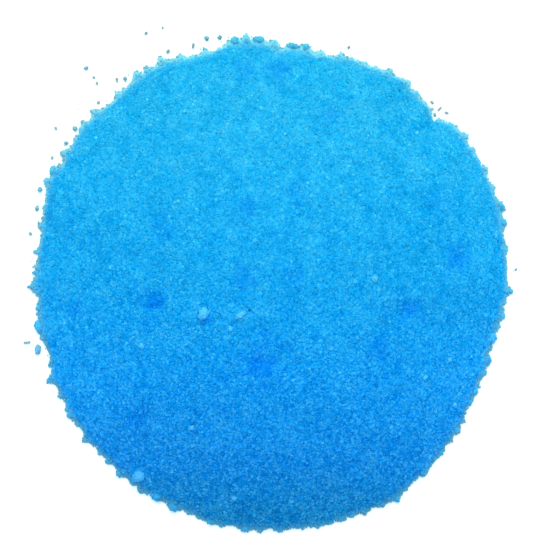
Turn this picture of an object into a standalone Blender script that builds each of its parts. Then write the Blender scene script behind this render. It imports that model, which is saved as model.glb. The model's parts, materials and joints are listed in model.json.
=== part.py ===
"""A loose heap of fine blue crystals, as tipped out onto a flat surface.

The heap is a low dome with a knobbly round outline and a flat underside at z = 0, centred on
the origin. Caked lumps sit in shallow sockets in its surface, knots of grains stand around
its foot, and stray grains lie on the surface around it. Metres, +Z up, +Y towards the back.
"""
import math
import random

import bmesh
import bpy
from mathutils import Matrix, Vector, noise

MM = 0.001

# Driving dimensions of the heap
HEAP_DIAMETER = 94.2 * MM
HEAP_HEIGHT = 18.0 * MM
FOOT_THICKNESS = 0.45 * MM    # one grain: the heap's thinnest layer, at its outline
GAP = 0.36 * MM               # left between a piece and the heap it rests in
GRID_CELLS = 60               # mesh cells across the heap

# Outline: lobes around the heap, as (how many, share of the radius, bearing of a crest)
OUTLINE_LOBES = (
    (2, 0.018, 93.5),
    (3, 0.015, 28.0),
    (4, 0.011, 32.0),
    (5, 0.005, 16.0),
    (7, 0.004, 2.0),
    (11, 0.003, 29.0),
    (12, 0.004, 2.0),
    (18, 0.003, 18.0),
)

# Bays (negative) and noses of the foot: (bearing in degrees, reach in mm, half width in mm)
BAYS_AND_NOSES = (
    (35, -0.50, 2.0),
    (45, -2.00, 1.5),
    (52, -0.45, 1.8),
    (57, 0.55, 1.4),
    (70, 0.70, 1.8),
    (79, -0.50, 1.8),
    (88, -1.20, 1.8),
    (105, -0.55, 3.2),
    (114, 0.40, 1.6),
    (130, -0.60, 2.6),
    (141, 0.50, 1.8),
    (150, -0.60, 3.0),
    (164, -0.50, 3.4),
    (183, -0.35, 1.8),
    (198, -0.45, 2.0),
    (204, 0.50, 1.4),
    (217, -0.50, 2.2),
    (246, -0.40, 3.0),
    (284, 0.35, 2.2),
    (310, 0.40, 3.2),
    (339, 0.45, 1.6),
    (352, 0.40, 1.8),
)

SHAPED_FROM = 0.86            # the bays and noses fade out inside this share of the radius

# Gentle swells over the whole surface, fading out at the foot
SWELL_HEIGHT = 0.22 * MM
SWELL_LENGTH = 7.0 * MM

# Shallow hollows in the surface, as (x, y, width along x, width along y, depth), all in mm
HOLLOWS = (
    (11.7, 31.3, 3.0, 4.2, 0.50),
    (4.7, 16.7, 2.2, 2.2, 0.35),
    (-21.6, -4.0, 2.4, 2.4, 0.50),
    (-1.5, -14.7, 4.2, 2.6, 0.50),
    (26.4, -4.9, 3.2, 2.4, 0.50),
    (36.8, 5.2, 3.0, 5.0, 0.50),
    (-24.8, -25.1, 3.2, 3.2, 0.40),
    (24.3, -21.3, 3.4, 3.0, 0.40),
)

# Caked lumps on the surface: (name, x, y, length, width, height, turn), in mm and degrees
SURFACE_LUMPS = (
    ("lump_left_of_centre", -12.1, -5.5, 2.7, 2.0, 1.7, 60),
    ("flake_at_centre", -5.2, -5.7, 2.6, 1.3, 1.2, 30),
    ("lump_front_left", -25.5, -37.5, 2.9, 2.3, 2.0, 35),
    ("lump_right_of_centre", 19.6, 0.9, 1.5, 1.4, 1.2, 10),
    ("bead_left_of_centre", -7.1, -8.3, 1.1, 1.0, 1.0, 0),
    ("bead_left", -24.0, -11.7, 1.2, 1.0, 1.0, 20),
    ("bead_right", 29.7, -17.9, 1.2, 0.9, 0.9, 15),
    ("bead_far_right", 34.6, -14.6, 1.1, 1.0, 0.9, 70),
    ("bead_front_right", 36.0, -23.7, 1.2, 1.0, 0.9, 130),
    ("bead_front_left", -14.7, -27.3, 1.2, 1.1, 1.0, 50),
    ("bead_front", -6.9, -41.4, 1.4, 1.1, 1.1, 90),
)
LUMP_PROUD = 0.20             # a lump's centre stands this share of its height above the heap

# Knots of grains around the foot: (x, y, length, width, height, turn), in mm and degrees
RIM_CLUMPS = (
    (45.5, 15.3, 2.2, 1.1, 1.1, 120),
    (45.9, 12.0, 1.6, 1.3, 1.1, 100),
    (7.1, 46.4, 1.7, 1.4, 1.2, 50),
    (4.6, 46.6, 2.6, 1.4, 1.2, 170),
    (-2.2, 47.9, 2.3, 1.5, 1.3, 0),
    (-6.9, 47.6, 1.9, 1.7, 1.3, 90),
    (-42.6, 22.2, 2.1, 1.2, 1.0, 80),
    (-45.6, 2.3, 1.9, 1.1, 0.9, 10),
    (-45.3, -4.8, 1.5, 1.3, 1.0, 130),
    (-45.3, -8.4, 2.8, 1.7, 1.3, 100),
    (-39.3, -25.6, 1.5, 1.3, 1.0, 110),
    (-29.5, -37.4, 1.4, 1.1, 1.0, 150),
    (-22.3, -41.6, 2.7, 1.9, 1.5, 155),
    (-18.9, -43.8, 2.3, 1.6, 1.2, 150),
    (-11.6, -46.6, 1.8, 1.4, 1.1, 165),
    (-4.8, -48.2, 1.7, 1.2, 1.0, 0),
    (25.0, -42.2, 1.5, 1.3, 1.0, 60),
    (40.2, -21.1, 1.7, 1.4, 1.1, 70),
    (43.6, -10.7, 2.4, 1.9, 1.4, 80),
    (47.3, -1.5, 1.1, 1.0, 0.9, 0),
    (-46.6, -0.6, 2.1, 0.8, 0.7, 5),
)

# Small knots lying clear of the heap, in the same terms as the rim clumps
STRAY_CRUMBS = (
    (-36.1, 42.4, 0.94, 0.77, 0.68, 30),
    (-28.4, 40.3, 0.85, 0.68, 0.59, 80),
    (-12.4, 48.2, 1.02, 0.85, 0.77, 20),
    (-9.8, 48.4, 0.85, 0.77, 0.68, 60),
    (-38.2, 30.5, 1.10, 0.85, 0.77, 120),
    (-39.9, 27.7, 0.85, 0.77, 0.68, 40),
    (-45.1, 18.5, 1.02, 0.85, 0.77, 100),
    (-45.7, 14.9, 1.02, 0.77, 0.68, 80),
    (-45.5, -12.9, 2.10, 1.20, 0.95, 80),
)

# Single crystals lying clear of the heap: (x, y, length, width, height, turn)
STRAY_CRYSTALS = (
    (-24.3, 49.2, 0.61, 0.49, 0.41, 20),
    (-21.0, 50.3, 0.41, 0.34, 0.33, 70),
    (-34.5, 40.5, 0.49, 0.41, 0.33, 140),
    (-33.9, 39.4, 0.53, 0.45, 0.37, 60),
    (-42.0, 30.6, 0.61, 0.49, 0.41, 110),
    (-30.0, 40.1, 0.78, 0.45, 0.41, 95),
    (-20.0, 45.6, 0.70, 0.57, 0.45, 35),
    (-15.0, 46.8, 0.98, 0.45, 0.41, 80),
    (-33.6, 35.6, 0.57, 0.49, 0.37, 15),
    (-42.7, 24.8, 0.53, 0.49, 0.37, 55),
    (-47.0, 9.9, 0.61, 0.53, 0.41, 120),
    (15.5, 46.4, 0.53, 0.45, 0.37, 45),
    (48.3, 2.8, 0.49, 0.37, 0.33, 30),
    (-47.6, -11.5, 1.25, 0.42, 0.40, 5),
    (33.4, 34.4, 1.00, 0.36, 0.33, 45),
    (34.7, 33.6, 0.70, 0.40, 0.33, 150),
    (31.9, 35.6, 0.66, 0.45, 0.37, 120),
)

# A crystal is a slanted block: its corner angle seen from above, and the lean of its sides
BLOCK_CORNER = math.radians(77)
BLOCK_LEAN = math.radians(12)
BLOCK_CHAMFER = 0.16          # share of the shortest side cut off each edge

# A caked knot is a pebble with an uneven skin
PEBBLE_SEGMENTS = 10
PEBBLE_RINGS = 7
PEBBLE_UNEVENNESS = 0.16      # share of the radius

AZURE = (0.012, 0.400, 0.890)
DEEP_AZURE = (0.010, 0.330, 0.760)
PALE_AZURE = (0.160, 0.560, 0.900)
TEAL = (0.045, 0.330, 0.520)


def clear_scene():
    for old in list(bpy.data.objects):
        bpy.data.objects.remove(old, do_unlink=True)


def collection(name):
    made = bpy.data.collections.new(name)
    bpy.context.scene.collection.children.link(made)
    return made


def crystal_material(name, colour, roughness):
    made = bpy.data.materials.new(name)
    made.use_nodes = True
    shader = made.node_tree.nodes["Principled BSDF"]
    shader.inputs["Base Color"].default_value = (*colour, 1.0)
    shader.inputs["Roughness"].default_value = roughness
    shader.inputs["Metallic"].default_value = 0.0
    made.diffuse_color = (*colour, 1.0)
    return made


def ring_radius(bearing, share):
    """Radius of the heap's plan along a bearing in radians from +X, for a ring around its axis.

    The share is 0 at the axis and 1 at the foot. Bays and noses only shape the outer rings.
    """
    radius = 0.5 * HEAP_DIAMETER
    for lobes, size, crest in OUTLINE_LOBES:
        radius += 0.5 * HEAP_DIAMETER * size * math.cos(lobes * (bearing - math.radians(crest)))
    near_foot = min(1.0, max(0.0, (share - SHAPED_FROM) / (1.0 - SHAPED_FROM)))
    for middle, reach, half_width in BAYS_AND_NOSES:
        aside = math.remainder(bearing - math.radians(middle), 2.0 * math.pi) * radius
        bulge = reach * MM * math.exp(-(aside / (half_width * MM)) ** 2)
        radius += bulge * near_foot * near_foot
    return radius


def surface_height(x, y):
    """Height of the heap's top surface: a dome, with swells and shallow hollows."""
    bearing = math.atan2(y, x)
    share = 1.0
    for _ in range(6):
        share = math.hypot(x, y) / ring_radius(bearing, share)
    dome = max(0.0, 1.0 - share * share)
    height = FOOT_THICKNESS + (HEAP_HEIGHT - FOOT_THICKNESS) * dome
    settled = min(1.0, 6.0 * dome)
    swell = noise.noise(Vector((x, y, 0.0)) / SWELL_LENGTH)
    height += SWELL_HEIGHT * swell * settled
    for hollow_x, hollow_y, wide, long, depth in HOLLOWS:
        across = (x - hollow_x * MM) / (0.5 * wide * MM)
        along = (y - hollow_y * MM) / (0.5 * long * MM)
        height -= depth * MM * math.exp(-across * across - along * along) * settled
    return height


def place_on_disc(u, v):
    """Point of the heap's plan for a point of the square from -1 to 1."""
    x = u * math.sqrt(1.0 - 0.5 * v * v)
    y = v * math.sqrt(1.0 - 0.5 * u * u)
    radius = ring_radius(math.atan2(y, x), math.hypot(x, y))
    return x * radius, y * radius


def add_object(name, mesh, home, material=None):
    made = bpy.data.objects.new(name, mesh)
    home.objects.link(made)
    if material is not None:
        made.data.materials.append(material)
    return made


def mesh_from(bm, name):
    bmesh.ops.recalc_face_normals(bm, faces=bm.faces)
    mesh = bpy.data.meshes.new(name)
    bm.to_mesh(mesh)
    bm.free()
    return mesh


def make_heap(parts, material):
    """A square grid drawn onto the heap's plan, raised to the surface, closed underneath."""
    bm = bmesh.new()
    bmesh.ops.create_grid(bm, x_segments=GRID_CELLS, y_segments=GRID_CELLS, size=1.0)
    for vert in bm.verts:
        x, y = place_on_disc(vert.co.x, vert.co.y)
        vert.co = Vector((x, y, surface_height(x, y)))
    rim = [edge for edge in bm.edges if edge.is_boundary]
    skirt = bmesh.ops.extrude_edge_only(bm, edges=rim)["geom"]
    for vert in skirt:
        if isinstance(vert, bmesh.types.BMVert):
            vert.co.z = 0.0
    underside = [edge for edge in bm.edges if edge.is_boundary]
    bmesh.ops.contextual_create(bm, geom=underside)
    return add_object("crystal_heap", mesh_from(bm, "crystal_heap"), parts, material)


def pebble(length, width, height, turn, seed):
    """An uneven pebble about its own centre, lengths in metres and the turn in degrees."""
    bm = bmesh.new()
    bmesh.ops.create_uvsphere(
        bm, u_segments=PEBBLE_SEGMENTS, v_segments=PEBBLE_RINGS, radius=0.5)
    for vert in bm.verts:
        bump = noise.noise(vert.co * 4.5 + Vector((seed * 3.7, seed * 1.9, seed)))
        vert.co *= 1.0 + PEBBLE_UNEVENNESS * bump
    shape = Matrix.Rotation(math.radians(turn), 4, "Z")
    shape @= Matrix.Diagonal((length, width, height, 1.0))
    bmesh.ops.transform(bm, matrix=shape, verts=bm.verts)
    return bm


def flatten_onto_floor(bm):
    """Bring the lowest fifth of a piece to one flat level, then set that level at z = 0."""
    lowest = min(vert.co.z for vert in bm.verts)
    highest = max(vert.co.z for vert in bm.verts)
    floor = lowest + 0.2 * (highest - lowest)
    under = [vert for vert in bm.verts if vert.co.z < floor]
    bmesh.ops.translate(bm, verts=bm.verts, vec=(0.0, 0.0, -floor))
    for vert in under:
        vert.co.z = 0.0


def add_socket(heap, piece, cutters):
    """Cut the heap away by the gap all around a piece that rests in it."""
    bm = bmesh.new()
    bm.from_mesh(piece.data)
    bm.normal_update()
    swollen = [(vert, vert.co + vert.normal * GAP) for vert in bm.verts]
    for vert, place in swollen:
        vert.co = place
    name = "socket_for_" + piece.name
    cutter = add_object(name, mesh_from(bm, name), cutters)
    cutter.location = piece.location
    cutter.display_type = "WIRE"
    cutter.hide_render = True
    cut = heap.modifiers.new(name, "BOOLEAN")
    cut.operation = "DIFFERENCE"
    cut.solver = "EXACT"
    cut.object = cutter


def make_surface_lumps(heap, parts, cutters, material):
    for seed, (name, x, y, length, width, height, turn) in enumerate(SURFACE_LUMPS, start=1):
        bm = pebble(length * MM, width * MM, height * MM, turn, seed)
        lump = add_object(name, mesh_from(bm, name), parts, material)
        level = surface_height(x * MM, y * MM) + LUMP_PROUD * height * MM
        lump.location = (x * MM, y * MM, level)
        add_socket(heap, lump, cutters)


def make_rim_clumps(heap, parts, cutters, material):
    for number, (x, y, length, width, height, turn) in enumerate(RIM_CLUMPS, start=1):
        name = f"rim_clump_{number:02d}"
        bm = pebble(length * MM, width * MM, 1.25 * height * MM, turn, 20 + number)
        flatten_onto_floor(bm)
        clump = add_object(name, mesh_from(bm, name), parts, material)
        clump.location = (x * MM, y * MM, 0.0)
        add_socket(heap, clump, cutters)


def make_stray_crumbs(parts, material):
    for number, (x, y, length, width, height, turn) in enumerate(STRAY_CRUMBS, start=1):
        name = f"stray_crumb_{number:02d}"
        bm = pebble(length * MM, width * MM, 1.25 * height * MM, turn, 50 + number)
        flatten_onto_floor(bm)
        crumb = add_object(name, mesh_from(bm, name), parts, material)
        crumb.location = (x * MM, y * MM, 0.0)


def make_stray_crystals(parts, material):
    chance = random.Random(7)
    for number, (x, y, length, width, height, turn) in enumerate(STRAY_CRYSTALS, start=1):
        name = f"stray_crystal_{number:02d}"
        bm = bmesh.new()
        bmesh.ops.create_cube(bm, size=1.0)
        bmesh.ops.translate(bm, verts=bm.verts, vec=(0.0, 0.0, 0.5))
        shear = Matrix.Identity(4)
        shear[0][1] = width / length / math.tan(BLOCK_CORNER)
        shear[0][2] = height / length * math.tan(BLOCK_LEAN) * chance.choice((-1, 1))
        shape = Matrix.Rotation(math.radians(turn), 4, "Z")
        shape @= Matrix.Diagonal((length * MM, width * MM, height * MM, 1.0)) @ shear
        bmesh.ops.transform(bm, matrix=shape, verts=bm.verts)
        crystal = add_object(name, mesh_from(bm, name), parts, material)
        crystal.location = (x * MM, y * MM, 0.0)
        chamfer = crystal.modifiers.new("chamfer", "BEVEL")
        chamfer.width = BLOCK_CHAMFER * height * MM
        chamfer.segments = 1
        chamfer.limit_method = "NONE"


def main():
    clear_scene()
    parts = collection("crystal_heap_parts")
    cutters = collection("cutters")
    heap = make_heap(parts, crystal_material("crystal_bulk", AZURE, 0.45))
    make_surface_lumps(heap, parts, cutters, crystal_material("caked_lump", PALE_AZURE, 0.5))
    make_rim_clumps(heap, parts, cutters, crystal_material("rim_clump", DEEP_AZURE, 0.45))
    stray = crystal_material("stray_grain", TEAL, 0.35)
    make_stray_crumbs(parts, stray)
    make_stray_crystals(parts, stray)


main()
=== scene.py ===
"""Looks of the crystal heap: every visible grain is a small solid crystal of its own.

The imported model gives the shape: grains are laid over the top of the node crystal_heap and
around its foot, and each lump, clump and crumb is built up again from single grains in the
place its node holds. Metres, +Z up, the picture's top towards +Y.
"""
import json
import math

import bmesh
import bpy
import numpy as np
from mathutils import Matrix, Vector, noise
from mathutils.bvhtree import BVHTree


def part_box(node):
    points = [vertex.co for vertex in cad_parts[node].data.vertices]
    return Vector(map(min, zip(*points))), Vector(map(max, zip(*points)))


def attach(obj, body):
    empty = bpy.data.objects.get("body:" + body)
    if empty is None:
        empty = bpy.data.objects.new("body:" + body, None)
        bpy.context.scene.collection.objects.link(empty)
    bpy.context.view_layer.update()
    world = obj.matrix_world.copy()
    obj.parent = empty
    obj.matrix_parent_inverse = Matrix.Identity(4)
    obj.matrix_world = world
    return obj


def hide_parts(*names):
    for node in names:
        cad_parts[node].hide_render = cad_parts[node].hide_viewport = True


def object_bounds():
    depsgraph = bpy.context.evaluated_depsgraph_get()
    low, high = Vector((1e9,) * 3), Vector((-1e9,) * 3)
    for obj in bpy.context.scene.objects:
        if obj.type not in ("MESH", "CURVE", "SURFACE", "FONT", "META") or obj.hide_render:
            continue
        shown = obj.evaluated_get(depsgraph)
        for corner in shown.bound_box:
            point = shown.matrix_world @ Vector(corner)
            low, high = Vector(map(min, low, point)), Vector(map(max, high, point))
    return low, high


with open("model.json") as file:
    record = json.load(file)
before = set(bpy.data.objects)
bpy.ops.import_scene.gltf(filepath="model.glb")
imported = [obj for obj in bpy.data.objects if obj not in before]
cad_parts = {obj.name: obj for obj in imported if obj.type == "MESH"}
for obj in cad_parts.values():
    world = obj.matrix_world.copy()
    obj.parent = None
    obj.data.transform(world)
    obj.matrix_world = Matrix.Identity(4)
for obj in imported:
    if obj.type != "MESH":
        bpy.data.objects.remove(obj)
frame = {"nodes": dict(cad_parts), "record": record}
CAD_LOW, CAD_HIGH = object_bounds()

MM = 0.001
rng = np.random.default_rng(20)

# Grains of the heap, and the two layers they lie in
GRAIN = 0.42 * MM             # usual width of a grain
GRAIN_SPREAD = 0.22           # log-normal spread of grain sizes
BED_SPACING = 0.355 * MM      # between grains of the closed lower layer
BED_RISE = 0.09 * MM          # how high that layer stands over the heap's skin
TOP_SPACING = 0.56 * MM       # between grains of the open upper layer
TOP_RISE = 0.20 * MM          # how high that one stands
LAYER_UNEVENNESS = 0.05 * MM  # how much that differs from grain to grain
LAYER_PIECE = 16000           # a piece of a layer holds no more grains than this
SPECKS = 0.008                # share of the grains that are bright specks

# Thin places, where the pale ground's light is painted as shining through the grains
THIN_LAYER = 0.65 * MM        # up to this height it does so fully
SHINE_THROUGH = 0.30 * MM     # height over which that fades above it

# Lengths over which the shade of the heap and the edges of its patches change
DRIFT_LENGTH = 3.2 * MM
CLUSTER_LENGTH = 1.3 * MM
PATCH_EDGE_LENGTH = 1.5 * MM
THIN_EDGE_LENGTH = 1.6 * MM

# How much grains differ in shade: each from the next, then over those first two lengths
SHADE_SPREAD = 0.17
SHADE_DRIFT = 0.21
SHADE_CLUSTER = 0.18
MORE_IN_FRONT = 1.4           # how much more each differs from the next in front
LESS_BEHIND = 0.40            # and how much less behind

# Patches of painted shade in a deeper colour: (x, y, half width, strength), the first three in mm
PAINTED_SHADE_PATCHES = (
    (-21.9, -3.8, 2.0, 1.0),
    (36.2, 4.9, 2.3, 0.8),
    (26.0, -4.8, 2.0, 0.8),
    (-1.8, -15.1, 2.8, 1.0),
    (-4.6, 1.0, 2.0, 0.6),
    (4.8, 1.0, 1.8, 0.4),
    (-25.3, -26.3, 2.6, 0.4),
    (-4.9, 41.4, 2.4, 0.5),
    (2.0, 41.4, 2.4, 0.7),
    (11.7, 32.1, 2.2, 0.5),
    (-20.0, 10.5, 2.0, 0.4),
    (4.8, 17.1, 2.0, 0.35),
    (-4.6, 14.2, 2.0, 0.5),
    (-37.1, -4.9, 1.8, 0.4),
    (21.1, -12.4, 2.0, 0.6),
    (32.2, 15.6, 2.2, 0.4),
    # the painted shadow that the lump left of the centre casts below it, to the right
    (-11.6, -6.7, 0.9, 0.9),
)

# The heap's underlay, which closes the gaps between grains
UNDERLAY_SINK = 0.04 * MM
UNDERLAY_ROUGHNESS = 0.06 * MM
UNDERLAY_SHADE = 0.4
UNDERLAY_MIDDLE = 40.0 * MM   # inside this radius the underlay keeps its width

# Room for the grains that stand out all along the foot
FOOT_INSET = 0.22 * MM        # from the model's outline in to the usual outline of the grains
FOOT_DRAWN_IN = 0.45 * MM     # from there in to the underlay and the layers
FOOT_HEIGHT = 1.2 * MM        # height over which the underlay comes out again
FOOT_STEPS = 720              # bearings at which the foot is measured

# How spiky the foot is: at least this, and this much more at the back left
RAGGED_LEAST = 0.80
RAGGED_MORE = 0.75
RAGGED_BEARING = math.radians(135.0)

# Noses, where the foot stands out. Sizes are (usual, spread, least, most), all but the
# log-normal spread in mm
NOSES = 84                    # the rim clumps among them
NOSE_REACHES = (0.85, 0.32, 0.4, 1.4)
NOSE_HALF_WIDTHS = (0.45, 1.05)
NOSE_STOUTNESS = 0.65         # a nose's half width is at least this share of its reach
NOSES_APART = math.radians(2.6)
NOSE_CLEARANCE = 0.4 * MM     # between a nose and a stray piece

# The fringe of grains around the foot, with fine knobs between its noses
FRINGE_GRAIN = 0.48 * MM
FRINGE_SPACING = 0.34 * MM
FRINGE_DEPTH = 1.2 * MM       # how far in from the foot it goes, rising over as much
FRINGE_SLOPE = 0.55           # how steeply it rises
KNOBS = 62.0                  # fine knobs in a radian
KNOB_REACH = 1.1              # how far they stand out, in mm
KNOB_INSET = 0.50             # from a line this far inside the foot's outline, in mm

# Rounded knots along the foot, their sizes given in the same way
NODULES = 240
NODULE_SIZES = (0.80, 0.28, 0.5, 1.4)
NODULE_OFFSETS = (-0.60, -0.05)     # from the foot's outline, as shares of the knot's size
NODULE_IN_NOSE = 0.40         # share of its size by which a knot lies inside its nose's tip

# Single grains around the foot
EDGE_GRAINS = 150             # greyer grains along its very edge
EDGE_GRAIN = 0.50 * MM
EDGE_AT_NOSES = 0.5           # share of them that lie at a nose
BAY_GRAINS = 44               # loose slivers lying in its bays
BAY_GRAIN = 0.38 * MM
BAY_STEPS = 61                # the foot is evened over this many bearings to find its bays
BAY_DEPTH = 2.4 * MM          # a deeper bay counts as this deep
DUST = 56                     # specks of dust on the ground
DUST_BEHIND = 0.7             # share of them behind the heap on the left
DUST_BEARING = math.radians(140.0)

# Caked pieces: the usual grain of each kind, and how the grains sit on the piece's core
LUMP_GRAIN = 0.42 * MM
CLUMP_GRAIN = 0.48 * MM
CRUMB_GRAIN = 0.38 * MM
CORE_DRAWN_IN = 0.25          # how far the core is drawn in, as a share of a grain
KNOT_COVER = 1.5              # grains on each square of the core as wide as a grain

# Fine grains around a lump, in rows of (distance from the lump, depth below the heap), in mm
COLLAR_ROWS = ((0.12, -0.08), (0.36, -0.01), (0.64, 0.10), (0.16, 0.32), (0.40, 0.40))
COLLAR_GRAIN = 0.38 * MM
COLLAR_SPACING = 0.24 * MM
COLLAR_REACH = 0.9 * MM       # how far out from the lump the heap's level is measured
COLLAR_RIM = 0.7 * MM         # how far inside that the level at the lump is taken

# The rim clumps, which come first among the noses, and the body that each node belongs to
CLUMPS = sum(node.startswith("rim_clump") for node in frame["nodes"])
BODY_OF = {node: body for body, nodes in frame["record"]["behaviour"]["bodies"].items()
           for node in nodes}


# --- the shape of the heap --------------------------------------------------------------------

def surface_tree(node):
    mesh = frame["nodes"][node].data
    corners = [vert.co.copy() for vert in mesh.vertices]
    return BVHTree.FromPolygons(corners, [tuple(face.vertices) for face in mesh.polygons])


def foot_radius(tree, bearing, reach=60.0 * MM, height=0.15 * MM):
    """Distance from the heap's axis to the usual outline of its grains along a bearing."""
    way = Vector((math.cos(bearing), math.sin(bearing), 0.0))
    start = way * reach + Vector((0.0, 0.0, height))
    spot, _, _, _ = tree.ray_cast(start, -way)
    return math.hypot(spot.x, spot.y) - FOOT_INSET


HEAP_TREE = surface_tree("crystal_heap")
FOOT_BEARINGS = np.linspace(0.0, 2.0 * math.pi, FOOT_STEPS + 1)
FOOT_RADII = np.array([foot_radius(HEAP_TREE, bearing) for bearing in FOOT_BEARINGS])


def foot_at(bearing):
    """Distance from the heap's axis to the foot's outline, at one bearing or at many."""
    return np.interp(bearing % (2.0 * math.pi), FOOT_BEARINGS, FOOT_RADII)


def raggedness(bearing):
    """How spiky the foot is: most at the back left, least at the front and right."""
    return RAGGED_LEAST + RAGGED_MORE * max(0.0, math.cos(bearing - RAGGED_BEARING))


def around_heap(bearings, radii, heights):
    """Places at bearings and distances around the heap's axis, and heights over the ground."""
    return np.stack([radii * np.cos(bearings), radii * np.sin(bearings), heights], -1)


# --- shapes of grains -------------------------------------------------------------------------

def slanted_block():
    """Corners and sides of a unit crystal: a block leaning along two of its axes."""
    corners = np.array([(x, y, z) for x in (-0.5, 0.5) for y in (-0.5, 0.5)
                        for z in (-0.5, 0.5)])
    corners[:, 0] += 0.23 * corners[:, 1] + 0.15 * corners[:, 2]
    sides = [(0, 1, 3, 2), (4, 6, 7, 5), (0, 4, 5, 1), (2, 3, 7, 6), (0, 2, 6, 4), (1, 5, 7, 3)]
    return corners, np.array(sides)


def rounded_nugget():
    """Corners and sides of a unit nugget: the twenty-sided solid, about one across."""
    golden = 0.5 * (1.0 + math.sqrt(5.0))
    corners = []
    for a in (-1.0, 1.0):
        for b in (-golden, golden):
            corners += [(0.0, a, b), (a, b, 0.0), (b, 0.0, a)]
    corners = 0.5 * np.array(corners) / math.hypot(1.0, golden)
    hull = bmesh.new()
    for corner in corners:
        hull.verts.new(corner)
    bmesh.ops.convex_hull(hull, input=hull.verts)
    hull.verts.index_update()
    corners = np.array([vert.co[:] for vert in hull.verts])
    sides = np.array([[vert.index for vert in face.verts] for face in hull.faces])
    hull.free()
    return corners, sides


def rounded_pebble():
    """Corners and sides of a unit pebble: a ball of eighty small triangles."""
    ball = bmesh.new()
    bmesh.ops.create_icosphere(ball, subdivisions=2, radius=0.5)
    corners = np.array([vert.co[:] for vert in ball.verts])
    sides = np.array([[vert.index for vert in face.verts] for face in ball.faces])
    ball.free()
    return corners, sides


BLOCK = slanted_block()
NUGGET = rounded_nugget()
PEBBLE = rounded_pebble()
SLIVER = (BLOCK[0] * (1.8, 0.85, 0.85), BLOCK[1])


def random_turns(count):
    """Rotation matrices spread evenly over all directions."""
    quats = rng.normal(size=(count, 4))
    quats /= np.linalg.norm(quats, axis=1, keepdims=True)
    w, x, y, z = quats.T
    return np.stack([
        np.stack([1 - 2 * (y * y + z * z), 2 * (x * y - z * w), 2 * (x * z + y * w)], -1),
        np.stack([2 * (x * y + z * w), 1 - 2 * (x * x + z * z), 2 * (y * z - x * w)], -1),
        np.stack([2 * (x * z - y * w), 2 * (y * z + x * w), 1 - 2 * (x * x + y * y)], -1),
    ], 1)


def grain_sizes(count, usual=GRAIN, spread=GRAIN_SPREAD):
    """Widths of grains, spread log-normally about the usual one."""
    return usual * np.clip(np.exp(rng.normal(0.0, spread, count)), 0.55, 1.7)


def sizes_between(usual, spread, least, most, count=None):
    """One size or an array of them, spread log-normally about the usual one; given in mm."""
    return np.clip(rng.lognormal(math.log(usual), spread, count), least, most) * MM


def dampness(points):
    """How much painted shade lies at each place, 0 to 1: soft patches with ragged edges."""
    total = np.zeros(len(points))
    for x, y, half_width, strength in PAINTED_SHADE_PATCHES:
        away = np.hypot(points[:, 0] - x * MM, points[:, 1] - y * MM) / (half_width * MM)
        near = away < 2.5
        ragged = [noise.noise(Vector(point) / PATCH_EDGE_LENGTH) for point in points[near]]
        total[near] += strength * np.exp(-(away[near] * (1.0 + np.array(ragged))) ** 2)
    return np.minimum(total, 1.0)


def grain_tints(centres):
    """A shade for each grain, 0 deep to 1 pale: its own, its neighbourhood's, a few specks.

    Towards the front, away from the light, the grains differ more.
    """
    drift = np.array([noise.noise(Vector(centre) / DRIFT_LENGTH) for centre in centres])
    cluster = np.array([noise.noise(Vector(centre) / CLUSTER_LENGTH) for centre in centres])
    back = centres[:, 1] / CAD_HIGH.y
    falling_off = np.where(back < 0.0, MORE_IN_FRONT, LESS_BEHIND)
    own = rng.normal(0.0, SHADE_SPREAD, len(centres)) * (1.0 - falling_off * back)
    tints = np.clip(0.5 + own + SHADE_DRIFT * drift + SHADE_CLUSTER * cluster, 0.0, 0.95)
    specks = rng.random(len(centres)) < SPECKS
    tints[specks] = rng.uniform(0.95, 1.0, specks.sum())
    return tints


def thinness(points):
    """How much of the pale ground's light is painted as shining through at each place: 1 at the
    ground, 0 higher up.
    """
    ragged = np.array([noise.noise(Vector(point) / THIN_EDGE_LENGTH) for point in points])
    length = SHINE_THROUGH * (1.0 + 0.2 * points[:, 1] / CAD_HIGH.y) * (1.0 + 0.9 * ragged)
    return np.exp(-np.maximum(points[:, 2] - THIN_LAYER, 0.0) / np.maximum(length, 0.05 * MM))


def grains_mesh(name, shape, centres, sizes, facing, ease, tints, wobble=0.14):
    """One mesh holding a separate, slightly different closed grain at each centre.

    Light soaks through the grains, so they shade more like the heap's whole surface than like
    hard pebbles: ease is how far their normals turn towards facing, the surface's own normals.
    """
    corners, sides = shape
    count = len(centres)
    stretch = rng.uniform(0.78, 1.2, (count, 1, 3))
    uneven = 1.0 + rng.uniform(-wobble, wobble, (count, len(corners), 1))
    points = corners[None] * stretch * uneven * sizes[:, None, None]
    points = np.einsum("nij,nkj->nki", random_turns(count), points)
    outward = points / np.linalg.norm(points, axis=2, keepdims=True)
    normals = (1.0 - ease) * outward + ease * facing[:, None]
    normals /= np.linalg.norm(normals, axis=2, keepdims=True)
    points += centres[:, None]
    points[..., 2] = np.maximum(points[..., 2], 0.0)    # flat where it would reach below ground
    faces = sides[None] + (np.arange(count) * len(corners))[:, None, None]
    mesh = bpy.data.meshes.new(name)
    mesh.vertices.add(points.shape[0] * points.shape[1])
    mesh.vertices.foreach_set("co", points.reshape(-1).astype(np.float32))
    mesh.loops.add(faces.size)
    mesh.loops.foreach_set("vertex_index", faces.reshape(-1).astype(np.int32))
    mesh.polygons.add(faces.size // faces.shape[-1])
    mesh.polygons.foreach_set(
        "loop_start", np.arange(0, faces.size, faces.shape[-1], dtype=np.int32))
    mesh.update(calc_edges=True)
    mesh.shade_smooth()
    mesh.normals_split_custom_set_from_vertices(normals.reshape(-1, 3))
    set_values(mesh, tint=np.repeat(tints, len(corners)), thin=thinness(points.reshape(-1, 3)),
               damp=np.repeat(dampness(centres), len(corners)))
    return mesh


def set_values(mesh, **values_by_name):
    """Numbers for each point of a mesh, for its material to read."""
    for name, values in values_by_name.items():
        layer = mesh.attributes.new(name, "FLOAT", "POINT")
        layer.data.foreach_set("value", values.astype(np.float32))


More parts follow.
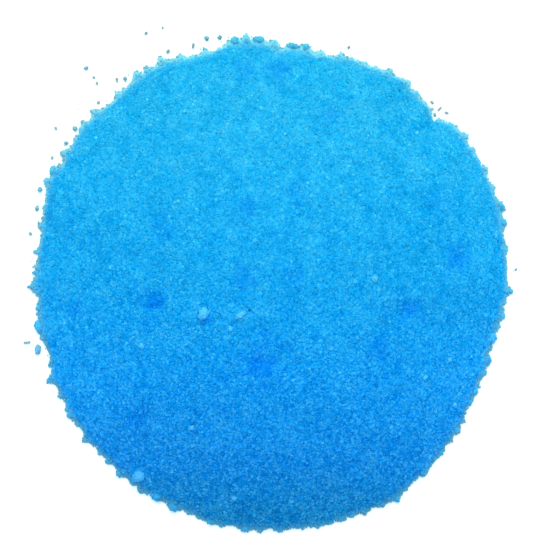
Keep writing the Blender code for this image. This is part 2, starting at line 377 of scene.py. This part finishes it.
def points_of(mesh):
    return np.array([vert.co[:] for vert in mesh.vertices])


def add_piece(name, mesh, material, body, replaced=()):
    """A finished piece, riding on its body and standing for the nodes it replaces."""
    piece = bpy.data.objects.new(name, mesh)
    bpy.context.scene.collection.objects.link(piece)
    mesh.materials.append(material)
    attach(piece, body)
    if replaced:
        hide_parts(*replaced)


# --- materials --------------------------------------------------------------------------------

# Cloudiness inside the crystals, the finer noise also a painted glitter of light off their faces:
# (noise scale per metre, detail, strength)
CLOUDS_AND_GLITTER = ((900.0, 3.0, 0.05), (4600.0, 1.0, 0.27))

# Painted light and shade over the heap: deeper in front, away from the lamp, paler behind towards
# it, and lighter from the middle out to the sides
PAINTED_LIGHT_FRONT_TO_BACK = [(0.0, (0.78, 0.85, 0.88)), (0.12, (0.78, 0.91, 1.09)),
              (0.30, (0.80, 1.01, 1.13)), (0.5, (0.83, 1.01, 1.00)), (0.65, (0.86, 1.0, 0.95)),
              (0.88, (1.35, 1.01, 0.88)), (1.0, (1.05, 0.99, 0.87))]
PAINTED_LIGHT_ASIDE = [(0.0, (1.0, 1.0, 1.0)), (1.0, (1.30, 1.12, 1.10))]
BACK_RANGE = (-45.0 * MM, 45.0 * MM)
ASIDE_RANGE = (22.0 * MM, 48.0 * MM)

# What a patch of painted shade makes of the heap's colour
PATCH_SHADE_COLOUR = (0.08, 0.68, 1.03)

# Frost on the crystals' faces: noise scale per metre, and its depth
FROST_SCALE = 4200.0
FROST_DEPTH = 0.03 * MM


def ramp_node(nodes, stops):
    """A colour ramp through stops, each (position, colour)."""
    ramp = nodes.new("ShaderNodeValToRGB")
    ends = ramp.color_ramp.elements
    ends[0].position, ends[0].color = stops[0][0], (*stops[0][1], 1.0)
    ends[1].position, ends[1].color = stops[-1][0], (*stops[-1][1], 1.0)
    for position, colour in stops[1:-1]:
        ends.new(position).color = (*colour, 1.0)
    return ramp


def attribute_node(nodes, name):
    attribute = nodes.new("ShaderNodeAttribute")
    attribute.attribute_name = name
    return attribute.outputs["Fac"]


def noise_node(nodes, links, place, scale, detail):
    made = nodes.new("ShaderNodeTexNoise")
    made.inputs["Scale"].default_value = scale
    made.inputs["Detail"].default_value = detail
    links.new(place, made.inputs["Vector"])
    return made.outputs["Fac"]


def mix_node(nodes, links, blend, factor, first, second):
    """Two colours blended; factor is a number or a socket.

    A mix node has sockets of every kind: those of its colours are 6 and 7 in, and 2 out.
    """
    mixed = nodes.new("ShaderNodeMix")
    mixed.data_type = "RGBA"
    mixed.blend_type = blend
    if isinstance(factor, float):
        mixed.inputs[0].default_value = factor
    else:
        links.new(factor, mixed.inputs[0])
    links.new(first, mixed.inputs[6])
    links.new(second, mixed.inputs[7])
    return mixed.outputs[2]


def share_node(nodes, links, value, low, high):
    """Where a value lies between low and high, from 0 to 1."""
    share = nodes.new("ShaderNodeMapRange")
    share.inputs["From Min"].default_value = low
    share.inputs["From Max"].default_value = high
    links.new(value, share.inputs["Value"])
    return share.outputs["Result"]


def places_over_heap(nodes, links, place):
    """How far back a point lies (0 front, 1 back), and how far out to a side (0 to 1)."""
    parts = nodes.new("ShaderNodeSeparateXYZ")
    links.new(place, parts.inputs[0])
    aside = nodes.new("ShaderNodeMath")
    aside.operation = "ABSOLUTE"
    links.new(parts.outputs["X"], aside.inputs[0])
    return (share_node(nodes, links, parts.outputs["Y"], *BACK_RANGE),
            share_node(nodes, links, aside.outputs[0], *ASIDE_RANGE))


def crystal_material(name, shades, edge, roughness=0.45):
    """Translucent crystal: each grain its own shade, clouded, with a painted glitter, and painted
    light where the heap is thin.

    Over the whole heap the shade drifts as painted light and shade, from deeper in front, away
    from the lamp, to paler behind, towards it.
    The ramp shades is read by a grain's tint, and edge, if any, from front to back of the heap.
    """
    material = bpy.data.materials.new(name)
    material.use_nodes = True
    nodes = material.node_tree.nodes
    links = material.node_tree.links
    shader = nodes["Principled BSDF"]
    place = nodes.new("ShaderNodeTexCoord").outputs["Object"]

    own_shade = ramp_node(nodes, shades)
    links.new(attribute_node(nodes, "tint"), own_shade.inputs["Fac"])
    colour = own_shade.outputs["Color"]
    for scale, detail, strength in CLOUDS_AND_GLITTER:
        cloudy = ramp_node(nodes, [(0.32, (1 - strength,) * 3), (0.68, (1 + strength,) * 3)])
        links.new(noise_node(nodes, links, place, scale, detail), cloudy.inputs["Fac"])
        colour = mix_node(nodes, links, "MULTIPLY", 1.0, colour, cloudy.outputs["Color"])
    back, side = places_over_heap(nodes, links, place)
    # painted light and shade, by where a point lies over the heap
    for share, stops in ((back, PAINTED_LIGHT_FRONT_TO_BACK), (side, PAINTED_LIGHT_ASIDE)):
        drift = ramp_node(nodes, stops)
        links.new(share, drift.inputs["Fac"])
        colour = mix_node(nodes, links, "MULTIPLY", 1.0, colour, drift.outputs["Color"])
    # painted shade of the patches
    damp_shade = ramp_node(nodes, [(0.0, (1.0, 1.0, 1.0)), (1.0, PATCH_SHADE_COLOUR)])
    links.new(attribute_node(nodes, "damp"), damp_shade.inputs["Fac"])
    colour = mix_node(nodes, links, "MULTIPLY", 1.0, colour, damp_shade.outputs["Color"])
    # painted light of the ground through thin places: darker in front, away from the lamp, paler
    # behind
    if edge:
        thin_edge = ramp_node(nodes, edge)
        links.new(back, thin_edge.inputs["Fac"])
        colour = mix_node(nodes, links, "MIX", attribute_node(nodes, "thin"), colour,
                          thin_edge.outputs["Color"])
    links.new(colour, shader.inputs["Base Color"])

    frost = noise_node(nodes, links, place, FROST_SCALE, 2.0)
    bump = nodes.new("ShaderNodeBump")
    bump.inputs["Strength"].default_value = 0.3
    bump.inputs["Distance"].default_value = FROST_DEPTH
    links.new(frost, bump.inputs["Height"])
    links.new(bump.outputs["Normal"], shader.inputs["Normal"])

    shader.inputs["Roughness"].default_value = roughness
    shader.inputs["IOR"].default_value = 1.52
    shader.inputs["Specular IOR Level"].default_value = 0.02
    return material


# Shades from the deepest grains, by way of the usual ones, to the bright specks; after them the
# painted light of the ground through thin places, darker in front, away from the lamp, and paler
# behind
BULK = crystal_material(
    "azure_grains",
    [(0.0, (0.0, 0.250, 0.695)), (0.25, (0.001, 0.320, 0.757)), (0.5, (0.009, 0.375, 0.800)),
     (0.75, (0.025, 0.430, 0.830)), (0.95, (0.048, 0.475, 0.860)), (1.0, (0.070, 0.540, 0.870))],
    [(0.0, (0.075, 0.390, 0.590)), (0.5, (0.110, 0.460, 0.660)), (1.0, (0.190, 0.600, 0.730))])
CAKED = crystal_material(
    "caked_grains",
    [(0.0, (0.008, 0.375, 0.810)), (0.5, (0.045, 0.440, 0.810)), (1.0, (0.120, 0.540, 0.830))],
    [(0.0, (0.135, 0.430, 0.590)), (1.0, (0.190, 0.600, 0.700))], roughness=0.55)
CLUMP = crystal_material(
    "rim_grains",
    [(0.0, (0.004, 0.320, 0.700)), (0.6, (0.030, 0.400, 0.750)), (1.0, (0.070, 0.480, 0.780))],
    [(0.0, (0.070, 0.370, 0.575)), (1.0, (0.130, 0.520, 0.680))])
STRAY = crystal_material(
    "stray_grains",
    [(0.0, (0.200, 0.350, 0.400)), (0.1, (0.130, 0.360, 0.460)), (0.6, (0.140, 0.420, 0.580)),
     (1.0, (0.200, 0.520, 0.700))],
    None, roughness=0.3)


# --- the heap ---------------------------------------------------------------------------------

def drop_onto(tree, plan, ceiling):
    """Where points of the plan meet the top of a solid, and its normals there."""
    spots = np.zeros((len(plan), 3))
    normals = np.zeros((len(plan), 3))
    hit = np.zeros(len(plan), bool)
    down = Vector((0.0, 0.0, -1.0))
    for index, (x, y) in enumerate(plan):
        spot, normal, _, _ = tree.ray_cast(Vector((x, y, ceiling)), down)
        if spot is not None:
            spots[index] = spot
            normals[index] = normal
            hit[index] = True
    return spots[hit], normals[hit]


def scattered_plan(low, high, spacing, jitter=0.42):
    """Points of a shaken triangular grid over a rectangle."""
    row_step = spacing * math.sqrt(0.75)
    rows = np.arange(low.y, high.y + row_step, row_step)
    points = []
    for number, y in enumerate(rows):
        xs = np.arange(low.x + 0.5 * spacing * (number % 2), high.x + spacing, spacing)
        points.append(np.stack([xs, np.full(len(xs), y)], -1))
    plan = np.concatenate(points)
    return plan + rng.uniform(-jitter, jitter, plan.shape) * spacing


def make_underlay():
    """The heap's own solid drawn in a little, with an uneven skin that shows in the gaps."""
    bm = bmesh.new()
    bm.from_mesh(frame["nodes"]["crystal_heap"].data)
    bmesh.ops.remove_doubles(bm, verts=bm.verts, dist=0.001 * MM)
    bmesh.ops.subdivide_edges(bm, edges=bm.edges, cuts=2, use_grid_fill=True)
    bm.normal_update()
    moved = []
    for vert in bm.verts:
        bump = noise.noise(vert.co / GRAIN)
        sink = UNDERLAY_SINK + UNDERLAY_ROUGHNESS * bump
        moved.append(vert.co - vert.normal * sink)
    for vert, place in zip(bm.verts, moved):
        near_foot = 0.0
        if place.xy.length > UNDERLAY_MIDDLE:
            near_foot = max(0.0, 1.0 - place.z / FOOT_HEIGHT)
        vert.co = place
        vert.co.xy *= 1.0 - near_foot * (FOOT_INSET + FOOT_DRAWN_IN) / FOOT_RADII.mean()
        vert.co.z = max(place.z, 0.0)
    mesh = bpy.data.meshes.new("heap_underlay")
    bm.to_mesh(mesh)
    bm.free()
    points = points_of(mesh)
    set_values(mesh, tint=np.full(len(points), UNDERLAY_SHADE), thin=thinness(points),
               damp=dampness(points))
    add_piece("heap_underlay", mesh, BULK, "heap", ["crystal_heap"])


def make_layer(name, spacing, rise, ease):
    """A layer of loose grains over the heap: rise is how high their tops usually stand."""
    low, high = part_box("crystal_heap")
    plan = scattered_plan(low, high, spacing)
    inside = foot_at(np.arctan2(plan[:, 1], plan[:, 0])) - FOOT_DRAWN_IN
    plan = plan[np.hypot(plan[:, 0], plan[:, 1]) < inside]
    spots, normals = drop_onto(HEAP_TREE, plan, high.z + 1.0 * MM)
    sizes = grain_sizes(len(spots))
    lifts = rise - 0.5 * sizes + rng.normal(0.0, LAYER_UNEVENNESS, len(spots))
    centres = spots + normals * lifts[:, None]
    centres[:, 2] = np.maximum(centres[:, 2], 0.3 * sizes)
    tints = grain_tints(spots)
    pieces = math.ceil(len(centres) / LAYER_PIECE)
    parts = np.array_split(rng.permutation(len(centres)), pieces)
    for number, part in enumerate(parts, start=1):
        mesh = grains_mesh(
            name, BLOCK, centres[part], sizes[part], normals[part], ease, tints[part])
        add_piece(f"{name}_{number}", mesh, BULK, "heap")


def outward_and_up(centres, up):
    """Unit directions leaning away from the heap's axis."""
    facing = centres * (1.0, 1.0, 0.0)
    facing /= np.linalg.norm(facing, axis=1, keepdims=True)
    facing[:, 2] = up
    return facing / np.linalg.norm(facing, axis=1, keepdims=True)


def plan_noses():
    """Where the foot stands out, as (bearing, reach, half width): at the clumps and between.

    A nose keeps clear of the other noses and of the stray pieces.
    """
    noses = []
    for node in frame["nodes"]:
        if node.startswith("rim_clump"):
            low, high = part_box(node)
            bearing = math.atan2(low.y + high.y, low.x + high.x)
            size = 0.7 * (high - low).xy.length
            reach = 0.5 * math.hypot(low.x + high.x, low.y + high.y) - foot_at(bearing)
            noses.append((bearing, reach + 0.15 * size, 0.55 * size + 0.50 * MM))
    strays = [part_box(node) for node in frame["nodes"] if node.startswith("stray")]
    while len(noses) < NOSES:
        bearing = rng.uniform(0.0, 2.0 * math.pi)
        reach = sizes_between(*NOSE_REACHES) * raggedness(bearing)
        half_width = rng.uniform(*NOSE_HALF_WIDTHS) * MM / raggedness(bearing)
        half_width = max(half_width, NOSE_STOUTNESS * reach)
        apart = min(abs(math.remainder(bearing - nose[0], 2.0 * math.pi)) for nose in noses)
        out = float(foot_at(bearing) + reach)
        tip = Vector((out * math.cos(bearing), out * math.sin(bearing)))
        clear = min((0.5 * (low + high).xy - tip).length - 0.5 * (high - low).xy.length
                    for low, high in strays)
        if apart > NOSES_APART and clear > half_width + NOSE_CLEARANCE:
            noses.append((bearing, reach, half_width))
    return noses


def reach_at(bearing, noses):
    """How far the fringe reaches past the foot's outline at a bearing."""
    fine = noise.noise(Vector((math.cos(bearing), math.sin(bearing), 0.7)) * KNOBS)
    reach = (KNOB_REACH * raggedness(bearing) * fine - KNOB_INSET) * MM
    for middle, tip, half_width in noses:
        aside = math.remainder(bearing - middle, 2.0 * math.pi) * foot_at(bearing) / half_width
        reach = max(reach, tip * math.exp(-abs(aside) ** 1.6))
    return reach


def make_fringe(noses):
    """Loose grains lying around the foot, heaped up wherever a nose stands out.

    Where they lie high, a second grain lies under each.
    """
    centres = []
    bearings = np.arange(0.0, 2.0 * math.pi, FRINGE_SPACING / FOOT_RADII.mean())
    for bearing in bearings:
        radius = foot_at(bearing)
        stand_out = reach_at(bearing, noses)
        for offset in np.arange(stand_out, -FRINGE_DEPTH, -FRINGE_SPACING):
            angle = bearing + rng.uniform(-0.4, 0.4) * FRINGE_SPACING / radius
            out = radius + offset + rng.uniform(-0.12, 0.12) * MM
            rise = FRINGE_SLOPE * min(stand_out - offset, FRINGE_DEPTH)
            lift = rng.uniform(0.12, 0.26) * MM + rise
            centres.append((out * math.cos(angle), out * math.sin(angle), lift))
            if lift > 0.4 * MM:
                centres.append((out * math.cos(angle), out * math.sin(angle), 0.45 * lift))
    centres = np.array(centres)
    sizes = grain_sizes(len(centres), FRINGE_GRAIN)
    mesh = grains_mesh("foot_fringe", NUGGET, centres, sizes, outward_and_up(centres, 1.6),
                       ease=0.6, tints=grain_tints(centres))
    add_piece("foot_fringe", mesh, BULK, "heap")


def make_nodules(noses):
    """Rounded knots at the foot: one at the tip of each nose without a clump, and smaller ones."""
    tips = noses[CLUMPS:]
    bearings = np.array([tip[0] for tip in tips])
    sizes = np.array([tip[2] for tip in tips])
    radii = foot_at(bearings) + np.array([tip[1] for tip in tips]) - NODULE_IN_NOSE * sizes
    small = rng.uniform(0.0, 2.0 * math.pi, NODULES)
    small_sizes = sizes_between(*NODULE_SIZES, NODULES)
    small_radii = foot_at(small) + small_sizes * rng.uniform(*NODULE_OFFSETS, NODULES)
    bearings = np.concatenate([bearings, small])
    sizes = np.concatenate([sizes, small_sizes])
    radii = np.concatenate([radii, small_radii])
    centres = around_heap(bearings, radii, 0.30 * sizes)
    mesh = grains_mesh("foot_nodules", PEBBLE, centres, sizes, outward_and_up(centres, 1.6),
                       ease=0.6, tints=grain_tints(centres), wobble=0.10)
    add_piece("foot_nodules", mesh, BULK, "heap")


def make_edge_grains(noses):
    """Greyer single grains at the very edge, many of them at noses, most at the back left."""
    bearings = []
    while len(bearings) < EDGE_GRAINS:
        bearing = rng.uniform(0.0, 2.0 * math.pi)
        if rng.random() < EDGE_AT_NOSES:
            middle, _, half_width = noses[rng.integers(CLUMPS, len(noses))]
            bearing = middle + rng.normal(0.0, 0.4) * half_width / FOOT_RADII.mean()
        likely = (raggedness(bearing) - 0.5) / 1.05     # 1 at the back left, 0.3 in front
        if rng.random() < likely:
            bearings.append(bearing)
    bearings = np.array(bearings)
    sizes = grain_sizes(EDGE_GRAINS, EDGE_GRAIN)
    reach = np.array([reach_at(bearing, noses) for bearing in bearings])
    radii = foot_at(bearings) + reach + rng.uniform(-0.05, 0.25, EDGE_GRAINS) * MM
    centres = around_heap(bearings, radii, 0.45 * sizes)
    mesh = grains_mesh("edge_grains", NUGGET, centres, sizes, outward_and_up(centres, 1.3),
                       ease=0.4, tints=rng.uniform(0.05, 0.6, EDGE_GRAINS))
    add_piece("edge_grains", mesh, STRAY, "heap")


def make_dust():
    """Specks of dust shaken off the heap, most of them behind it on the left."""
    behind = int(DUST_BEHIND * DUST)
    bearings = np.concatenate([rng.normal(DUST_BEARING, 0.45, behind),
                               rng.uniform(0.0, 2.0 * math.pi, DUST - behind)])
    radii = foot_at(bearings) + rng.exponential(0.9, DUST) * MM + 0.3 * MM
    sizes = rng.uniform(0.14, 0.32, DUST) * MM
    centres = around_heap(bearings, radii, 0.4 * sizes)
    mesh = grains_mesh("dust", NUGGET, centres, sizes, outward_and_up(centres, 1.3),
                       ease=0.3, tints=rng.uniform(0.0, 0.5, DUST))
    add_piece("dust", mesh, STRAY, "heap")


def make_bay_grains():
    """Loose slivers lying in the bays of the foot, more of them the deeper the bay."""
    weights = np.hanning(BAY_STEPS)
    three_rounds = np.tile(FOOT_RADII[:-1], 3)
    evened = np.convolve(three_rounds, weights / weights.sum(), "same")[FOOT_STEPS:2 * FOOT_STEPS]
    depth = np.clip(evened - FOOT_RADII[:-1], 0.0, BAY_DEPTH)
    likely = depth ** 1.5
    chosen = rng.choice(FOOT_STEPS, BAY_GRAINS, replace=False, p=likely / likely.sum())
    bearings = FOOT_BEARINGS[chosen] + rng.uniform(-0.004, 0.004, BAY_GRAINS)
    radii = FOOT_RADII[chosen] + depth[chosen] * rng.uniform(0.1, 1.5, BAY_GRAINS)
    sizes = grain_sizes(BAY_GRAINS, BAY_GRAIN)
    centres = around_heap(bearings, radii, 0.4 * sizes)
    mesh = grains_mesh("bay_grains", SLIVER, centres, sizes, outward_and_up(centres, 1.3),
                       ease=0.3, tints=rng.uniform(0.1, 0.7, BAY_GRAINS))
    add_piece("bay_grains", mesh, STRAY, "heap")


# --- lumps, clumps and stray pieces -----------------------------------------------------------

def painted_light_at_top(points, node):
    """Shades of a caked piece, painted paler towards its top, where the lamp lights it, from 0.25
    at its foot to 0.95 at its top.
    """
    low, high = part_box(node)
    share = np.clip((points[:, 2] - low.z) / (high.z - low.z), 0.0, 1.0)
    return 0.25 + 0.70 * share * share


def knot_core(node, usual):
    """The solid of a caked piece's node, drawn in a little and cut into triangles."""
    core = bmesh.new()
    core.from_mesh(frame["nodes"][node].data)
    bmesh.ops.remove_doubles(core, verts=core.verts, dist=0.001 * MM)
    bmesh.ops.subdivide_edges(core, edges=core.edges, cuts=1, use_grid_fill=True)
    core.normal_update()
    drawn_in = [vert.co - vert.normal * CORE_DRAWN_IN * usual for vert in core.verts]
    for vert, place in zip(core.verts, drawn_in):
        vert.co = place
    bmesh.ops.triangulate(core, faces=core.faces)
    core.faces.ensure_lookup_table()
    return core


def spots_over(core, usual):
    """Random places on a core's skin, enough of them for its grains to cover it."""
    areas = np.array([face.calc_area() for face in core.faces])
    count = int(KNOT_COVER * areas.sum() / (usual * usual))
    spots = []
    for index in rng.choice(len(areas), count, p=areas / areas.sum()):
        a, b, c = (vert.co for vert in core.faces[index].verts)
        s, t = rng.random(2)
        if s + t > 1.0:
            s, t = 1.0 - s, 1.0 - t
        spots.append(a + (b - a) * s + (c - a) * t)
    return np.array(spots)


def joined_mesh(name, meshes):
    """One mesh made of several, which are used up."""
    joined = bmesh.new()
    for mesh in meshes:
        joined.from_mesh(mesh)
        bpy.data.meshes.remove(mesh)
    mesh = bpy.data.meshes.new(name)
    joined.to_mesh(mesh)
    joined.free()
    return mesh


def make_knot(node, material, usual):
    """A caked piece: its node's solid drawn in as a core, with single grains set in its skin."""
    core = knot_core(node, usual)
    spots = spots_over(core, usual)
    count = len(spots)
    away = spots - spots.mean(axis=0)
    away /= np.linalg.norm(away, axis=1, keepdims=True)
    spots += away * rng.uniform(-0.15, 0.12, (count, 1)) * usual
    facing = away + (0.0, 0.0, 0.9)
    facing /= np.linalg.norm(facing, axis=1, keepdims=True)
    tints = np.clip(painted_light_at_top(spots, node) + rng.normal(0.0, 0.10, count), 0.1, 1.0)
    sizes = grain_sizes(count, usual, 0.18)
    grains = grains_mesh(node, NUGGET, spots, sizes, facing, ease=0.65, tints=tints)
    core_mesh = bpy.data.meshes.new("core")
    core.to_mesh(core_mesh)
    core.free()
    points = points_of(core_mesh)
    set_values(core_mesh, tint=painted_light_at_top(points, node), thin=thinness(points),
               damp=np.zeros(len(points)))
    mesh = joined_mesh(node, [grains, core_mesh])
    add_piece(node + "_grains", mesh, material, BODY_OF[node], [node])


def make_collar(node):
    """Fine grains packed around a lump, where it sits in the heap's surface.

    A clump at the foot stands on the ground, and has them on the heap's side only.
    """
    low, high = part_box(node)
    middle = 0.5 * (low + high)
    outermost = middle.xy.length if low.z < 0.1 * MM else math.inf
    around = np.linspace(0.0, 2.0 * math.pi, 24, endpoint=False)
    reach = 0.5 * max(high.x - low.x, high.y - low.y) + COLLAR_REACH
    ring = np.stack([middle.x + reach * np.cos(around), middle.y + reach * np.sin(around)], -1)
    spots, normals = drop_onto(HEAP_TREE, ring, CAD_HIGH.z + 1.0 * MM)
    centre = spots.mean(axis=0)
    slope = np.linalg.lstsq(spots[:, :2] - centre[:2], spots[:, 2] - centre[2], rcond=None)[0]

    def heap_level(place):
        return centre[2] + slope[0] * (place.x - centre[0]) + slope[1] * (place.y - centre[1])

    lump = surface_tree(node)
    centres = []
    for bearing in np.arange(0.0, 2.0 * math.pi, COLLAR_SPACING / (reach - COLLAR_REACH)):
        way = Vector((math.cos(bearing), math.sin(bearing), 0.0))
        rim = Vector((middle.x, middle.y, 0.0)) + way * (reach - COLLAR_RIM)
        level = min(heap_level(rim), high.z - 0.3 * (high.z - low.z))
        hit, _, _, _ = lump.ray_cast(Vector((rim.x, rim.y, level)) + way * MM, -way)
        if hit is None:
            continue
        for out, sunk in COLLAR_ROWS:
            place = hit + way * (out + rng.uniform(-0.04, 0.04)) * MM
            level = heap_level(place) - sunk * MM
            if place.xy.length < outermost and level > 0.15 * MM:
                centres.append((place.x, place.y, level))
    centres = np.array(centres)
    facing = np.repeat(normals.mean(axis=0)[None], len(centres), axis=0)
    sizes = grain_sizes(len(centres), COLLAR_GRAIN)
    # paler by a painted lift of light, against the shade that gathers in the crevice around the
    # lump
    tints = np.clip(grain_tints(centres) + 0.15, 0.0, 0.95)
    mesh = grains_mesh(node, NUGGET, centres, sizes, facing, ease=0.9, tints=tints)
    add_piece(node + "_collar", mesh, BULK, "heap")


def make_pieces():
    """Every caked piece built up from grains; single stray crystals keep the model's shape."""
    for entry in frame["record"]["subparts"]:
        node = entry["node"]
        slot = entry["material_slot"]
        if slot == "caked_lump":
            make_knot(node, CAKED, LUMP_GRAIN)
            make_collar(node)
        elif slot == "rim_clump":
            make_knot(node, CLUMP, CLUMP_GRAIN)
            make_collar(node)
        elif node.startswith("stray_crumb"):
            make_knot(node, STRAY, CRUMB_GRAIN)
        elif slot == "stray_grain":
            frame["nodes"][node].data.materials.clear()
            frame["nodes"][node].data.materials.append(STRAY)


# --- the set ----------------------------------------------------------------------------------

# The floor: flat out to this radius, then bending up into a wall
COVE_RADIUS = 1.5
COVE_BEND = 0.3
COVE_HEIGHT = 0.5
FLOOR_GAP = 0.02 * MM         # between the floor and what lies on it


def make_floor():
    """A round floor that sweeps up into a low wall, like a photographer's cove."""
    bend = [math.radians(angle) for angle in range(0, 91, 10)]
    outline = [(0.0, 0.0)]
    outline += [(COVE_RADIUS + COVE_BEND * math.sin(angle), COVE_BEND * (1.0 - math.cos(angle)))
                for angle in bend]
    outline.append((COVE_RADIUS + COVE_BEND, COVE_HEIGHT))
    bm = bmesh.new()
    line = [bm.verts.new((out, 0.0, up - FLOOR_GAP)) for out, up in outline]
    edges = [bm.edges.new(pair) for pair in zip(line, line[1:])]
    bmesh.ops.spin(bm, geom=line + edges, axis=(0.0, 0.0, 1.0), cent=(0.0, 0.0, 0.0),
                   angle=2.0 * math.pi, steps=96, use_merge=True)
    bmesh.ops.remove_doubles(bm, verts=bm.verts, dist=0.01 * MM)
    mesh = bpy.data.meshes.new("floor")
    bm.to_mesh(mesh)
    bm.free()
    mesh.shade_smooth()
    floor = bpy.data.objects.new("floor", mesh)
    bpy.context.scene.collection.objects.link(floor)
    material = bpy.data.materials.new("white_ground")
    material.use_nodes = True
    shader = material.node_tree.nodes["Principled BSDF"]
    shader.inputs["Base Color"].default_value = (0.95, 0.95, 0.95, 1.0)
    shader.inputs["Roughness"].default_value = 0.9
    shader.inputs["Emission Color"].default_value = (0.3, 0.8, 0.9, 1.0)
    shader.inputs["Emission Strength"].default_value = 0.20
    floor.data.materials.append(material)


def make_light():
    """A soft lamp high behind the heap, and pale bluish light from all around."""
    world = bpy.data.worlds.new("studio")
    bpy.context.scene.world = world
    world.use_nodes = True
    world.node_tree.nodes["Background"].inputs["Color"].default_value = (0.85, 0.90, 1.15, 1.0)
    world.node_tree.nodes["Background"].inputs["Strength"].default_value = 0.715
    lamp = bpy.data.lights.new("softbox", "AREA")
    lamp.shape = "DISK"
    lamp.size = 1.2
    lamp.energy = 10.5
    lamp.color = (1.0, 1.0, 0.78)
    softbox = bpy.data.objects.new("softbox", lamp)
    bpy.context.scene.collection.objects.link(softbox)
    aim = Vector((0.0, 0.0, 0.0))
    place = Vector((0.02, 0.65, 0.76))
    softbox.location = place
    softbox.rotation_euler = (aim - place).to_track_quat("-Z", "Y").to_euler()


def make_camera():
    """Straight down from above, with +Y to the top of the picture."""
    picture_width = 110.0 * MM
    heap_aside = 2.02 * MM      # the heap lies left of the picture's centre
    heap_below = 0.75 * MM      # and a little below it
    lens = bpy.data.cameras.new("camera")
    lens.lens = 100.0
    lens.sensor_width = 36.0
    camera = bpy.data.objects.new("camera", lens)
    bpy.context.scene.collection.objects.link(camera)
    distance = picture_width * lens.lens / lens.sensor_width
    camera.location = (heap_aside, heap_below, distance)
    camera.rotation_euler = (0.0, 0.0, 0.0)
    lens.clip_start = 0.01
    bpy.context.scene.camera = camera


def main():
    bpy.context.scene.view_settings.view_transform = "Standard"
    make_camera()
    make_light()
    make_floor()
    make_underlay()
    make_layer("bed_grains", BED_SPACING, BED_RISE, ease=0.80)
    make_layer("top_grains", TOP_SPACING, TOP_RISE, ease=0.72)
    noses = plan_noses()
    make_fringe(noses)
    make_nodules(noses)
    make_edge_grains(noses)
    make_dust()
    make_bay_grains()
    make_pieces()


main()
